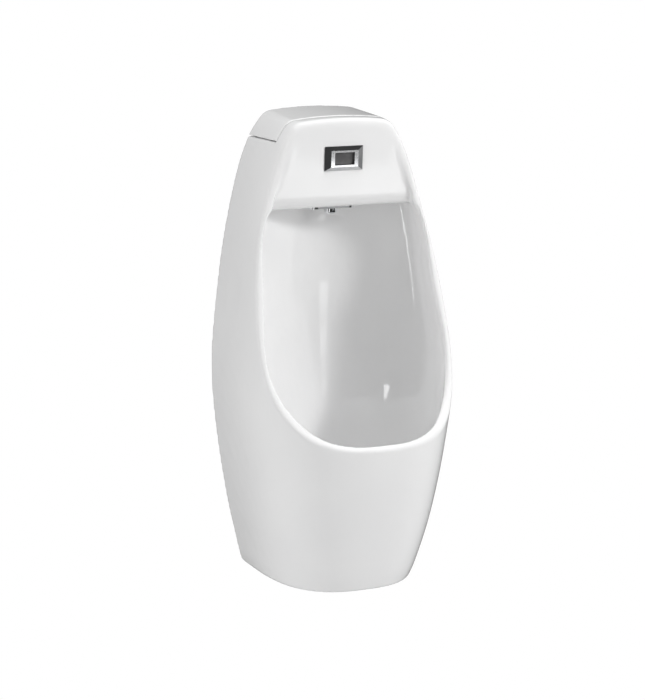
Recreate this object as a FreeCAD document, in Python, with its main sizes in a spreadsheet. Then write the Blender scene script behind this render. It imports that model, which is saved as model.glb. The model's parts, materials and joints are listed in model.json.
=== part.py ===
import FreeCAD, Part
import math
import os
import re
import Sketcher
from FreeCAD import Placement, Rotation, Vector

# Wall hung urinal with a built-in sensor flush, in millimetres.
# X runs to the right as seen from the front, +Y runs into the wall, whose face is Y = 0, and Z is up.
# Heights in the sheet are counted from the foot of the china, and depths from the wall towards the front.
# The origin lies on the wall face, midway between the screw holes of the two wall hooks.

os.makedirs("parts", exist_ok=True)
doc = FreeCAD.newDocument("wall_hung_urinal")
sheet = doc.addObject("Spreadsheet::Sheet", "Sheet")

SIZES = [
    # china body: outer skin
    ("total_height", 718), ("china_wall", 12), ("foot_round", 8), ("crown_radius", 600),
    ("crown_round", 24), ("crown_fall", 6), ("crown_fall_run", 105),
    ("side_power", 2.6), ("front_power", 3.45),
    # rim profile, seen from the side, from the head down to the lip
    ("head_depth", 134), ("rim_straight_level", 600), ("rim_chest_depth", 150.5), ("rim_chest_level", 487),
    ("rim_waist_depth", 181), ("rim_waist_level", 381), ("rim_hip_depth", 211), ("rim_hip_level", 311),
    ("rim_knee_depth", 241), ("rim_knee_level", 273), ("lip_depth", 292), ("lip_level", 236),
    ("lip_fall", 0.45),
    ("rim_round", 4.5), ("rim_inner_round", 3),
    # bowl, shelf over it and the panel of the head
    ("bowl_floor", 140), ("bowl_floor_round", 45), ("trough_power", 1.5),
    ("shelf_underside", 575), ("shelf_wall", 12), ("chin_round", 20),
    ("panel_step", 7), ("panel_step_top", 690), ("panel_wall", 12),
    # lid
    ("seam_level", 676), ("lid_depth", 105), ("seam_gap", 1),
    ("lid_pad_radius", 4), ("lid_pad_back", 25), ("lid_pad_front", 85),
    # wall fixing
    ("hanger_level", 492), ("crossbar_bottom", 520), ("crossbar_height", 40), ("crossbar_depth", 18),
    ("hook_spacing", 140), ("hook_width", 36), ("hook_steel", 3), ("hook_drop", 46), ("hook_hole", 3.3),
    ("hook_lip", 14), ("liner_wall", 1.5),
    # sensor
    ("sensor_level", 650.5), ("sensor_clearance", 0.5), ("case_width", 54), ("case_height", 29),
    ("case_length", 31), ("case_wall", 2), ("bezel_width", 62), ("bezel_height", 37),
    ("bezel_proud", 4.5), ("bezel_slope_x", 9), ("bezel_slope_z", 6), ("window_width", 32),
    ("window_height", 19), ("window_glass", 2.5),
    ("clamp_steel", 2), ("clamp_width", 66), ("clamp_height", 12), ("clamp_screw_spacing", 40),
    ("small_screw_radius", 1.5), ("small_screw_head", 3), ("small_screw_head_height", 2),
    ("small_screw_length", 9), ("screw_gap", 0.05),
    ("sensor_gasket", 1), ("board_thickness", 1.6), ("sensor_post", 8), ("sensor_post_radius", 3),
    ("led_radius", 2.5), ("led_length", 9), ("led_spacing", 14),
    ("lead_radius", 1.5), ("lead_gap", 0.2), ("sensor_lead_x", 12), ("sensor_lead_run", 18), ("lead_end", 5),
    # control box
    ("box_x", 65), ("box_width", 50), ("box_back", 44), ("box_depth", 56), ("box_height", 56),
    ("box_wall", 2), ("box_round", 4), ("box_cover", 4), ("box_gasket", 1), ("box_post", 3.6),
    ("box_screw_inset", 5.4), ("cell_radius", 7.1), ("cell_height", 48.5), ("cell_nub_radius", 2.7),
    ("cell_nub", 1.3), ("cell_pitch", 14.8), ("cell_gap", 0.2), ("holder_wall", 1.2), ("holder_height", 30),
    ("holder_gap", 0.3), ("contact_steel", 0.5), ("contact_width", 9), ("control_board_height", 46),
    ("control_board_gap", 14), ("box_lead_drop", 12), ("sensor_lead_back", 40), ("valve_lead_back", 18),
    # valve, heights from its own bottom
    ("valve_x", 62), ("nozzle_depth", 82), ("valve_bottom", 609), ("valve_radius", 17),
    ("valve_height", 37), ("valve_chamber", 13), ("valve_chamber_bottom", 12), ("valve_seat_radius", 6.5),
    ("valve_seat_bore", 4.5), ("valve_seat_height", 36.7), ("valve_sump", 3), ("inlet_rise", 21),
    ("outlet_rise", 6), ("inlet_port_radius", 10), ("inlet_port_length", 13), ("outlet_port_radius", 6.8),
    ("outlet_port_length", 7), ("outlet_port_bore", 3.5), ("diaphragm", 1.6),
    ("bonnet", 8), ("bonnet_hollow", 10), ("bonnet_hollow_height", 3), ("pilot_bore", 1),
    ("bonnet_screw_place", 10.5),
    ("bonnet_screw_radius", 1.2), ("bonnet_screw_head", 2), ("bonnet_screw_length", 15),
    ("tube_radius", 6), ("tube_bore", 5), ("tube_ceiling", 22), ("tube_top", 6.5), ("coil_radius", 12.4),
    ("coil_height", 19), ("coil_nut", 4), ("coil_nut_radius", 9), ("plunger_radius", 4.95),
    ("plunger_height", 14), ("plunger_rest", 0.3), ("spring_wire", 0.4), ("spring_radius", 3),
    ("spring_turns", 3), ("spring_end_gap", 0.1),
    ("stop_boss_radius", 7.5), ("stop_boss_length", 7), ("stop_screw_radius", 5), ("stop_screw_length", 10),
    ("stop_screw_proud", 3), ("stop_bore_depth", 8), ("stop_passage", 2.5), ("slot_width", 1.6),
    ("slot_depth", 1.5), ("running_gap", 0.05),
    # water inlet
    ("inlet_nut_radius", 15), ("inlet_thread", 10.3), ("inlet_relief", 11), ("inlet_nut_lip", 3),
    ("inlet_thread_length", 14),
    ("inlet_washer", 2), ("tail_flange", 3), ("tail_radius", 7.5), ("tail_bore", 5.5), ("tail_seat", 8),
    ("filter_radius", 5.4), ("filter_wall", 0.6), ("filter_length", 16),
    # flush pipe and nozzle
    ("pipe_radius", 5), ("pipe_bore", 4), ("pipe_bend", 12), ("pipe_nut_radius", 8.5), ("pipe_nut", 7),
    ("pipe_seat", 4), ("shank_radius", 7.5), ("shank_hole", 9), ("shank_proud", 2),
    ("locknut_radius", 13), ("locknut", 6), ("nozzle_gasket", 2), ("plate_width", 76), ("plate_depth", 26),
    ("plate_thickness", 3), ("plate_round", 12.9), ("nozzle_radius", 10), ("nozzle_drop", 9),
    ("nozzle_round", 2.5), ("nozzle_jet", 2),
    # waste
    ("drain_depth", 160), ("waste_hole", 23), ("waste_radius", 20), ("waste_bore", 17.5),
    ("waste_flange", 31), ("waste_flange_thickness", 2.5), ("waste_bottom", 98), ("waste_gasket", 3),
    ("waste_nut_radius", 33), ("waste_nut", 7), ("strainer_radius", 27), ("strainer_dome", 3),
    ("strainer_wall", 2), ("strainer_hole", 2.6), ("strainer_ring", 10), ("strainer_ring_count", 8),
    ("strainer_skirt", 8), ("fit_gap", 0.3),
    # trap
    ("trap_neck_top", 110), ("trap_neck_radius", 24), ("trap_seat", 2), ("trap_deck", 92),
    ("trap_wall", 2.5), ("trap_radius", 36), ("trap_skirt_bottom", 44),
    ("dip_bottom", 34), ("dip_radius", 17), ("dip_wall", 2), ("cup_bottom", 18), ("cup_wall", 3),
    ("cup_seal", 3), ("cup_collar", 5), ("cup_round", 8), ("trap_nut_radius", 30), ("trap_nut_overlap", 10),
    ("trap_nut_lip", 3.5), ("trap_washer", 2.5),
    ("outlet_level", 68), ("outlet_radius", 16), ("outlet_wall", 2.2), ("sleeve_wall", 3.5),
    ("sleeve_reach", 56), ("sleeve_depth", 14), ("outlet_nut_radius", 24), ("outlet_nut_overlap", 10),
    ("outlet_washer", 2.5), ("outlet_nut_lip", 3), ("socket_radius", 26), ("socket_bore", 20.3),
    ("socket_length", 36), ("socket_mouth", 22), ("socket_seal", 3), ("socket_groove", 22),
    ("socket_round", 2),
]
for row, (name, value) in enumerate(SIZES, start=1):
    sheet.set("A%d" % row, name)
    sheet.set("B%d" % row, str(value))
    sheet.setAlias("B%d" % row, name)

# Outer skin stations from the foot to the crown: level, half width at the wall, reach of the plan curve.
SKIN = [
    (0, 117, 217), (38, 127.3, 236.5), (76, 136, 251), (115, 143.8, 263), (155, 150.5, 273),
    (195, 156.3, 281.3), (234, 161, 288.5), (272, 164.6, 296), (311, 166.4, 307), (358, 165.2, 326),
    (405, 160.8, 345),
    (480, 151.5, 350), (554, 138.5, 290), (609, 125.8, 240), (654, 111.7, 226), (690, 93.7, 222),
    (716, 70, 220),
]
SKIN_NAMES = [("skin_level_%s", 0), ("skin_half_%s", 1), ("skin_reach_%s", 2)]
# Bowl trough stations, floor to shelf: level, depth of the trough line, depth where it meets the side.
TROUGH = [(140, 64, 160), (234, 60, 165), (311, 55, 158), (405, 52, 132), (480, 50, 118), (575, 50, 104)]
TROUGH_NAMES = [("trough_level_%s", 0), ("trough_back_%s", 1), ("trough_side_%s", 2)]
LETTERS = "abcdefghijklmnopq"
next_row = len(SIZES) + 2
for stations, names in ((SKIN, SKIN_NAMES), (TROUGH, TROUGH_NAMES)):
    for letter, station in zip(LETTERS, stations):
        for pattern, column in names:
            sheet.set("A%d" % next_row, pattern % letter)
            sheet.set("B%d" % next_row, str(station[column]))
            sheet.setAlias("B%d" % next_row, pattern % letter)
            next_row += 1
doc.recompute()


def size(expression):
    """Value of a sheet cell, or of an expression in the sheet's names."""
    return float(sheet.evalExpression(expression))


def named(expression):
    """The same expression with each name read from the sheet, for a property of another object."""
    return re.sub(r"\b([a-z]\w*)\b(?!\()", r"Sheet.\1", expression)


# ---------------------------------------------------------------- placing
def locate(piece, x="0", depth="0", level="0", turn=None):
    """Puts a piece's own origin at x, depth from the wall and level above the foot."""
    if turn is not None:
        piece.Placement = Placement(Vector(0, 0, 0), turn)
    piece.setExpression(".Placement.Base.x", named(x))
    piece.setExpression(".Placement.Base.y", named("-(%s)" % depth))
    piece.setExpression(".Placement.Base.z", named("%s - hanger_level" % level))


FACE_FRONT = Rotation(Vector(1, 0, 0), 90)


def plane_of(body, role):
    return next(plane for plane in body.Origin.OriginFeatures if plane.Role == role)


def new_body(label, role):
    body = doc.addObject("PartDesign::Body", label)
    body.Label = label
    sketch = body.newObject("Sketcher::SketchObject", label + "_sketch")
    sketch.AttachmentSupport = (plane_of(body, role), [""])
    sketch.MapMode = "FlatFace"
    return body, sketch


def draw_outline(sketch, corners):
    """Closed outline through corners, each a pair of sheet expressions, dimensioned from the origin."""
    points = [Vector(size(across), size(along), 0) for across, along in corners]
    first = sketch.GeometryCount
    count = len(points)
    for index in range(count):
        sketch.addGeometry(Part.LineSegment(points[index], points[(index + 1) % count]), False)
    for index in range(count):
        following = first + (index + 1) % count
        sketch.addConstraint(Sketcher.Constraint("Coincident", first + index, 2, following, 1))
    for index, (across, along) in enumerate(corners):
        rules = (("DistanceX", across, points[index].x), ("DistanceY", along, points[index].y))
        for kind, expression, value in rules:
            number = sketch.addConstraint(Sketcher.Constraint(kind, -1, 1, first + index, 1, value))
            sketch.setExpression("Constraints[%d]" % number, named(expression))


def draw_circle(sketch, radius, across="0", along="0"):
    centre = Vector(size(across), size(along), 0)
    circle = sketch.addGeometry(Part.Circle(centre, Vector(0, 0, 1), size(radius)), False)
    number = sketch.addConstraint(Sketcher.Constraint("Radius", circle, size(radius)))
    sketch.setExpression("Constraints[%d]" % number, named(radius))
    for kind, expression, value in (("DistanceX", across, centre.x), ("DistanceY", along, centre.y)):
        number = sketch.addConstraint(Sketcher.Constraint(kind, -1, 1, circle, 3, value))
        sketch.setExpression("Constraints[%d]" % number, named(expression))


def turned(label, profile):
    """A turned piece: the profile of radius and height pairs revolved about its own Z axis."""
    body, sketch = new_body(label, "XZ_Plane")
    draw_outline(sketch, profile)
    revolution = body.newObject("PartDesign::Revolution", label + "_turn")
    revolution.Profile = sketch
    revolution.ReferenceAxis = (sketch, ["V_Axis"])
    revolution.Angle = 360
    return body


def pad(label, corners, length, role="XY_Plane", lift="0", middle=False):
    """A flat piece: the outline padded by length, up its plane's normal or evenly both ways."""
    body, sketch = new_body(label, role)
    sketch.setExpression(".AttachmentOffset.Base.z", named(lift))
    draw_outline(sketch, corners)
    flat = body.newObject("PartDesign::Pad", label + "_pad")
    flat.Profile = sketch
    flat.setExpression("Length", named(length))
    flat.Midplane = middle
    doc.recompute()
    return body


def rectangle(width, depth):
    return [("-(%s)/2" % width, "-(%s)/2" % depth), ("(%s)/2" % width, "-(%s)/2" % depth),
            ("(%s)/2" % width, "(%s)/2" % depth), ("-(%s)/2" % width, "(%s)/2" % depth)]


def hexagon(radius):
    """Corners of a hexagon about the origin, by the radius to its corners."""
    corners = []
    for turn in range(6):
        angle = math.radians(60 * turn)
        corners.append(("%s * (%.4f)" % (radius, math.cos(angle)), "%s * (%.4f)" % (radius, math.sin(angle))))
    return corners


def cut(body, shapes, role="XY_Plane", lift="0", depth=None, forwards=True):
    """Pockets circles or outlines out of a body, right through or to a depth from a lifted sketch."""
    doc.recompute()
    sketch = body.newObject("Sketcher::SketchObject", body.Label + "_cut_sketch")
    sketch.AttachmentSupport = (plane_of(body, role), [""])
    sketch.MapMode = "FlatFace"
    sketch.setExpression(".AttachmentOffset.Base.z", named(lift))
    for shape in shapes:
        if isinstance(shape, tuple):
            draw_circle(sketch, *shape)
        else:
            draw_outline(sketch, shape)
    before = body.Shape.Volume
    pocket = body.newObject("PartDesign::Pocket", body.Label + "_cut")
    pocket.Profile = sketch
    if depth is None:
        pocket.Type = "ThroughAll"
        pocket.Midplane = True
    else:
        pocket.setExpression("Length", named(depth))
        pocket.Reversed = forwards
    doc.recompute()
    if body.Shape.Volume >= before - 0.01:
        raise RuntimeError("the cut in %s removes nothing" % body.Label)


def add(body, shapes, length, role="XY_Plane", lift="0", backwards=False):
    """Pads circles or outlines onto a body from a lifted sketch."""
    doc.recompute()
    sketch = body.newObject("Sketcher::SketchObject", body.Label + "_add_sketch")
    sketch.AttachmentSupport = (plane_of(body, role), [""])
    sketch.MapMode = "FlatFace"
    sketch.setExpression(".AttachmentOffset.Base.z", named(lift))
    for shape in shapes:
        if isinstance(shape, tuple):
            draw_circle(sketch, *shape)
        else:
            draw_outline(sketch, shape)
    boss = body.newObject("PartDesign::Pad", body.Label + "_add")
    boss.Profile = sketch
    boss.setExpression("Length", named(length))
    boss.Reversed = backwards
    doc.recompute()


def soften(body, radius, chosen):
    """Fillets the edges of a body that the chooser picks."""
    doc.recompute()
    tip = body.Tip
    edges = ["Edge%d" % number for number, edge in enumerate(tip.Shape.Edges, start=1) if chosen(edge)]
    fillet = body.newObject("PartDesign::Fillet", body.Label + "_round")
    fillet.Base = (tip, edges)
    fillet.setExpression("Radius", named(radius))
    doc.recompute()


def is_upright(edge):
    return isinstance(edge.Curve, Part.Line) and abs(edge.Curve.Direction.z) > 0.999


def feature(label, shape):
    """A sub-part whose shape is worked out here from the sheet's sizes, from the foot's middle."""
    piece = doc.addObject("Part::Feature", label)
    piece.Label = label
    piece.Shape = shape
    locate(piece)
    return piece


def ring(label, inner, outer, height):
    """A flat ring, such as a washer, a gasket or a plain nut."""
    return turned(label, [(inner, "0"), (outer, "0"), (outer, height), (inner, height)])


def group(label, pieces):
    """Separate solids of one kind under one name."""
    together = doc.addObject("Part::Compound", label)
    together.Label = label
    together.Links = pieces
    return together


# ---------------------------------------------------------------- china: curves
LOFT_DEGREE = 3


def station_table(stations, names):
    table = []
    for letter, station in zip(LETTERS, stations):
        table.append([size(pattern % letter) for pattern, column in names])
    return table


SKIN_TABLE = station_table(SKIN, SKIN_NAMES)
TROUGH_TABLE = station_table(TROUGH, TROUGH_NAMES)


def law(table, level, column):
    """Smooth value of a column of a station table at a level, by cubic Hermite steps."""
    levels = [station[0] for station in table]
    values = [station[column] for station in table]
    slopes = []
    last = len(levels) - 1
    for index in range(last + 1):
        low = max(index - 1, 0)
        high = min(index + 1, last)
        slopes.append((values[high] - values[low]) / (levels[high] - levels[low]))
    if level <= levels[0]:
        return values[0] + slopes[0] * (level - levels[0])
    if level >= levels[last]:
        return values[last] + slopes[last] * (level - levels[last])
    index = max(number for number in range(last) if levels[number] <= level)
    span = levels[index + 1] - levels[index]
    part = (level - levels[index]) / span
    start = values[index] * (1 + 2 * part) + span * slopes[index] * part
    end = values[index + 1] * (3 - 2 * part) + span * slopes[index + 1] * (part - 1)
    return start * (1 - part) ** 2 + end * part ** 2


def plan_point(half, reach, angle):
    """Point of the plan curve, from the side at the wall (angle 0) to the middle of the front (90 degrees)."""
    aside = half * math.cos(angle) ** (2 / size("side_power"))
    out = reach * math.sin(angle) ** (2 / size("front_power"))
    return aside, out


def mirrored(points):
    """A half outline and its mirror image, in one run from the right to the left."""
    return points + [Vector(-point.x, point.y, point.z) for point in reversed(points[:-1])]


def chord_shares(points):
    """How far along its chords each point of an outline lies, from 0 to 1."""
    lengths = [0.0]
    for before, after in zip(points, points[1:]):
        lengths.append(lengths[-1] + before.distanceToPoint(after))
    return [length / lengths[-1] for length in lengths]


def smooth_arch(half_points, model):
    """Curve through a half outline and its mirror image, with a model outline's knots, straight at its ends."""
    ahead = half_points[1] - half_points[0]
    points = mirrored(half_points)
    length = sum(before.distanceToPoint(after) for before, after in zip(points, points[1:]))
    out = Vector(0, math.copysign(length, ahead.y), 0)
    curve = Part.BSplineCurve()
    curve.interpolate(Points=points, Parameters=chord_shares(mirrored(model)), InitialTangent=out,
                      FinalTangent=out * -1, Scale=False)
    return curve.toShape()


# The widest station's outlines give every section of a loft its knots.
MODEL_LEVEL = max(SKIN_TABLE, key=lambda station: station[1])[0]
# Cutting tools reach this far, well clear of the china.
OUTSIDE = size("total_height")


def skin_points(level, inset):
    half = law(SKIN_TABLE, level, 1) - inset
    reach = law(SKIN_TABLE, level, 2) - inset
    steps = 7
    crowding = 1.35
    points = []
    for step in range(steps + 1):
        aside, out = plan_point(half, reach, math.pi / 2 * (step / steps) ** crowding)
        points.append(Vector(aside, -out, level))
    points[-1].x = 0
    return points


def skin_wire(level, inset):
    """Plan section of the skin, inset by a wall, closed by a straight line a wall behind the wall face."""
    points = skin_points(level, inset)
    half = points[0].x
    behind = size("china_wall")
    corners = [Vector(-half, 0, level), Vector(-half, behind, level), Vector(half, behind, level),
               Vector(half, 0, level)]
    return Part.Wire([smooth_arch(points, skin_points(MODEL_LEVEL, 0))] + Part.makePolygon(corners).Edges)


def skin_loft(inset, bottom):
    """The skin's solid from a level to above the crown, through the sheet's stations."""
    apart = 2 * size("china_wall") * (inset > 0)
    levels = [bottom] + [station[0] for station in SKIN_TABLE if station[0] > bottom + apart]
    levels.append(size("total_height + china_wall"))
    return Part.makeLoft([skin_wire(level, inset) for level in levels], True, False, False, LOFT_DEGREE)


def crown_tool(lowered):
    """Everything above the crown: an arched sheet that falls slightly towards the front."""
    top = size("total_height") - lowered
    radius = size("crown_radius")
    reach = radius * 0.45
    slope = size("crown_fall / crown_fall_run")
    start = 3 * size("china_wall")
    middle = top + start * slope
    ends = middle - radius + math.sqrt(radius ** 2 - reach ** 2)
    roof = top + OUTSIDE
    left_end, right_end = (Vector(x, start, ends) for x in (-reach, reach))
    left_top, right_top = (Vector(x, start, roof) for x in (-reach, reach))
    arch = Part.Arc(left_end, Vector(0, start, middle), right_end).toShape()
    sides = Part.makePolygon([right_end, right_top, left_top, left_end])
    face = Part.Face(Part.Wire([arch] + sides.Edges))
    return face.extrude(Vector(0, -OUTSIDE, -OUTSIDE * slope))


def rim_tool():
    """Everything in front of the rim profile, which runs from the head down to the lip."""
    points = [Vector(0, -size("head_depth"), size("rim_straight_level"))]
    for name in ("rim_chest", "rim_waist", "rim_hip", "rim_knee", "lip"):
        points.append(Vector(0, -size(name + "_depth"), size(name + "_level")))
    curve = Part.BSplineCurve()
    fall = size("lip_fall")
    curve.interpolate(Points=points, InitialTangent=Vector(0, 0, -1), FinalTangent=Vector(0, -1, -fall))
    above = 2 * OUTSIDE
    first = points[0]
    last = points[-1]
    corners = [last, Vector(0, -OUTSIDE, last.z - fall * (OUTSIDE + last.y)), Vector(0, -OUTSIDE, above),
               Vector(0, first.y, above), first]
    return across(Part.Face(Part.Wire([curve.toShape()] + Part.makePolygon(corners).Edges)))


def across(face):
    """A prism across the whole width over a face in the middle plane."""
    face.translate(Vector(-OUTSIDE, 0, 0))
    return face.extrude(Vector(2 * OUTSIDE, 0, 0))


def bowl_points(level, grow):
    """Half plan outlines of the bowl's front and trough, grown by a wall and rounded in towards the floor."""
    wall = size("china_wall")
    floor = size("bowl_floor") - grow
    rounding = size("bowl_floor_round") + grow
    above = level - floor
    pull = 0.0
    if above < rounding:
        pull = rounding - math.sqrt(rounding ** 2 - (rounding - above) ** 2)
    half = law(SKIN_TABLE, level, 1) - wall + grow
    reach = law(SKIN_TABLE, level, 2) - wall + grow
    side = law(TROUGH_TABLE, level, 2)
    back = law(TROUGH_TABLE, level, 1) - grow + pull
    shrink = 1 - pull / half
    front_shrink = 1 - pull / (reach - side)
    angle = math.asin((side / reach) ** (size("front_power") / 2))
    front = []
    steps = 5
    crowding = 0.8
    for step in range(steps + 1):
        aside, out = plan_point(half, reach, angle + (math.pi / 2 - angle) * (step / steps) ** crowding)
        front.append(Vector(aside * shrink, -(side + (out - side) * front_shrink), level))
    front[-1].x = 0
    half_side = plan_point(half, reach, angle)[0]
    trough = []
    steps = 3
    power = 2 / size("trough_power")
    for step in range(steps + 1):
        turn = math.pi / 2 * step / steps
        aside = half_side * math.cos(turn) ** power
        trough.append(Vector(aside * shrink, -(side - (side - back) * math.sin(turn) ** power), level))
    trough[-1].x = 0
    return front, trough


def bowl_wire(level, grow):
    models = bowl_points(MODEL_LEVEL, 0)
    return Part.Wire([smooth_arch(half, model) for half, model in zip(bowl_points(level, grow), models)])


def bowl_loft(grow):
    floor = size("bowl_floor") - grow
    rounding = size("bowl_floor_round") + grow
    top = size("shelf_underside") + (size("shelf_wall") if grow else 0)
    apart = 2 * size("china_wall")
    levels = [floor + rounding * share for share in (0, 0.04, 0.15, 0.35, 0.65, 1)]
    levels += [station[0] for station in TROUGH_TABLE if floor + rounding * 1.3 < station[0] < top - apart]
    levels.append(top)
    return Part.makeLoft([bowl_wire(level, grow) for level in levels], True, False, False, LOFT_DEGREE)


def block(x_low, x_high, depth_low, depth_high, level_low, level_high):
    return Part.makeBox(x_high - x_low, depth_high - depth_low, level_high - level_low,
                        Vector(x_low, -depth_high, level_low))


def rounded(shape, radius, chosen):
    return shape.makeFillet(radius, [edge for edge in shape.Edges if chosen(edge)])


# ---------------------------------------------------------------- china body and lid
PANEL_SLOPE = "(panel_step / (panel_step_top - shelf_underside - chin_round))"


def panel_lean():
    """Slope of the head's sunk panel, as depth for each millimetre of level."""
    return size(PANEL_SLOPE)


def side_prism(corners):
    """A prism across the whole width over corners of depth and level."""
    points = [Vector(0, -depth, level) for depth, level in corners]
    return across(Part.Face(Part.makePolygon(points + points[:1])))


def wide_block(depth_low, depth_high, level_low, level_high):
    return block(-OUTSIDE, OUTSIDE, depth_low, depth_high, level_low, level_high)


def china_blank():
    """Outer skin of body and lid in one, below the crown and behind the rim."""
    skin = skin_loft(0, 0).cut(crown_tool(0)).cut(wide_block(-OUTSIDE, 0, 0, 2 * OUTSIDE))
    crown_edge = size("total_height - 3 * china_wall")
    skin = rounded(skin, size("crown_round"),
                   lambda edge: edge.BoundBox.ZMin > crown_edge and edge.BoundBox.YMin < -1)
    skin = rounded(skin, size("foot_round"), lambda edge: edge.BoundBox.ZMax < 0.01 and edge.BoundBox.YMin < -1)
    return skin.cut(rim_tool())


def in_front(edge, depth, level):
    """True for an edge that lies wholly beyond a depth and reaches above a level."""
    samples = edge.discretize(9)
    return max(point.y for point in samples) < -depth and max(point.z for point in samples) > level


def panel_tool():
    """What the sunk panel of the head takes away, down to the round chin over the bowl."""
    chin = size("chin_round")
    bottom = size("shelf_underside")
    lean = panel_lean()
    head = size("head_depth")
    step_top = size("panel_step_top")
    angle = math.atan(lean)
    rise = chin
    foot_depth = head - size("panel_step")
    centre = Vector(0, -(foot_depth - chin / math.cos(angle)), bottom + chin)
    start = centre + Vector(0, -chin * math.cos(angle), -chin * math.sin(angle))
    middle = centre + Vector(0, -chin * math.sin(math.pi / 4), -chin * math.cos(math.pi / 4))
    end = centre + Vector(0, 0, -chin)
    arc = Part.Arc(start, middle, end).toShape()
    top = Vector(0, -(head + rise * lean), step_top + rise)
    corners = [end, Vector(0, -OUTSIDE, bottom), Vector(0, -OUTSIDE, top.z), top, start]
    prism = across(Part.Face(Part.Wire([arc] + Part.makePolygon(corners).Edges)))
    return prism.common(skin_loft(size("china_wall"), bottom))


def china_void():
    """The hollow behind the walls: the head above the shelf, and the space round the bowl below it."""
    wall = size("china_wall")
    shelf_top = size("shelf_underside + shelf_wall")
    roof = 2 * OUTSIDE
    behind = -2 * wall
    inner = skin_loft(wall, wall).cut(crown_tool(wall))
    under = inner.common(wide_block(behind, OUTSIDE, wall, shelf_top)).cut(bowl_loft(wall))
    lean = panel_lean()
    thickness = size("panel_wall") * math.sqrt(1 + lean ** 2)
    foot_depth = size("head_depth - panel_step") - thickness
    bottom_depth = foot_depth + (shelf_top - size("shelf_underside + chin_round")) * lean
    roof_depth = bottom_depth + (roof - shelf_top) * lean
    upper = inner.common(side_prism([(behind, shelf_top), (bottom_depth, shelf_top), (roof_depth, roof),
                                     (behind, roof)]))
    bar = wide_block(behind, size("crossbar_depth"), size("crossbar_bottom"),
                     size("crossbar_bottom + crossbar_height"))
    return under.fuse(upper).cut(bar)


def panel_place(shape):
    """Moves a shape from the sensor's own frame, whose Z leaves the panel, to its place on the panel."""
    shape.Placement = Placement(Vector(0, -size(SENSOR_DEPTH), size("sensor_level")), PANEL_FACE)
    return shape


PANEL_FACE = Rotation(Vector(1, 0, 0), 90 + math.degrees(math.atan(panel_lean())))
SENSOR_DEPTH = "head_depth - (panel_step_top - sensor_level) * " + PANEL_SLOPE
CASE_HOLE_WIDTH = "case_width + 2 * sensor_clearance"
CASE_HOLE_HEIGHT = "case_height + 2 * sensor_clearance"


def china_parts():
    blank = china_blank()
    body = rounded(blank, size("rim_round"), is_rim)
    body = body.cut(bowl_loft(0))
    body = rounded(body, size("rim_inner_round"),
                   lambda edge: edge.Length > size("head_depth * 4") and is_rim(edge) and is_inner_rim(edge))
    body = body.cut(panel_tool())
    void = china_void()
    body = body.cut(void)
    seam = size("seam_level")
    lid_depth = size("lid_depth")
    gap = size("seam_gap")
    behind = -OUTSIDE
    roof = 2 * OUTSIDE
    body = body.cut(wide_block(behind, lid_depth, seam, roof))
    width = size(CASE_HOLE_WIDTH)
    height = size(CASE_HOLE_HEIGHT)
    through = size("panel_wall") * 3
    window = panel_place(Part.makeBox(width, height, through, Vector(-width / 2, -height / 2, -through / 2)))
    body = body.cut(window)
    shank = Vector(0, -size("nozzle_depth"), size("shelf_underside - shelf_wall"))
    body = body.cut(Part.makeCylinder(size("shank_hole"), size("3 * shelf_wall"), shank))
    drain = Vector(0, -size("drain_depth"), size("bowl_floor - 2 * china_wall"))
    body = body.cut(Part.makeCylinder(size("waste_hole"), size("3 * china_wall"), drain))
    lid = blank.common(wide_block(behind, lid_depth - gap, seam + gap, roof)).cut(void)
    return body, lid


def is_rim(edge):
    return in_front(edge, size("head_depth - china_wall"), size("lip_level"))


def is_inner_rim(edge):
    middle = edge.valueAt((edge.FirstParameter + edge.LastParameter) / 2)
    return abs(middle.y) < size("lip_depth - china_wall / 2")


body_shape, lid_shape = china_parts()
feature("ceramic_body", body_shape)
feature("ceramic_lid", lid_shape)


def lid_pads():
    """Four rubber pads on the ledge that the side walls leave under the lid."""
    level = size("seam_level")
    pads = []
    for depth in (size("lid_pad_back"), size("lid_pad_front")):
        reach = law(SKIN_TABLE, level, 2)
        angle = math.asin((depth / reach) ** (size("front_power") / 2))
        aside = plan_point(law(SKIN_TABLE, level, 1), reach, angle)[0] - size("china_wall") / 2
        for side in (-1, 1):
            place = Vector(side * aside, -depth, level)
            pads.append(Part.makeCylinder(size("lid_pad_radius"), size("seam_gap"), place))
    return Part.makeCompound(pads)


feature("lid_pads", lid_pads())


# ---------------------------------------------------------------- wall fixing
def wall_hook(side):
    """A bent steel hook under the crossbar, screwed to the wall below it."""
    steel = "hook_steel"
    inner = "crossbar_depth + liner_wall"
    outer = "crossbar_depth + liner_wall + hook_steel"
    lip = "hook_lip + liner_wall"
    corners = [("0", "-hook_drop"), ("-" + steel, "-hook_drop"), ("-" + steel, "-" + steel),
               ("-(%s)" % outer, "-" + steel), ("-(%s)" % outer, lip), ("-(%s)" % inner, lip),
               ("-(%s)" % inner, "0"), ("0", "0")]
    name = "wall_hook_" + ("right" if side > 0 else "left")
    hook = pad(name, corners, "hook_width", "YZ_Plane", middle=True)
    cut(hook, [("hook_hole", "0", "hanger_level - crossbar_bottom + liner_wall")], "XZ_Plane")
    soften(hook, "hook_steel / 2", lambda edge: is_crossways(edge) and is_outer_bend(edge))
    locate(hook, "%d * hook_spacing / 2" % side, "0", "crossbar_bottom - liner_wall")
    return hook


def is_crossways(edge):
    return isinstance(edge.Curve, Part.Line) and abs(edge.Curve.Direction.x) > 0.999


def is_outer_bend(edge):
    centre = edge.CenterOfMass
    reach = size("crossbar_depth + liner_wall + hook_steel")
    return abs(centre.y + reach) < 0.01 and abs(centre.z + size("hook_steel")) < 0.01


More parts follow.
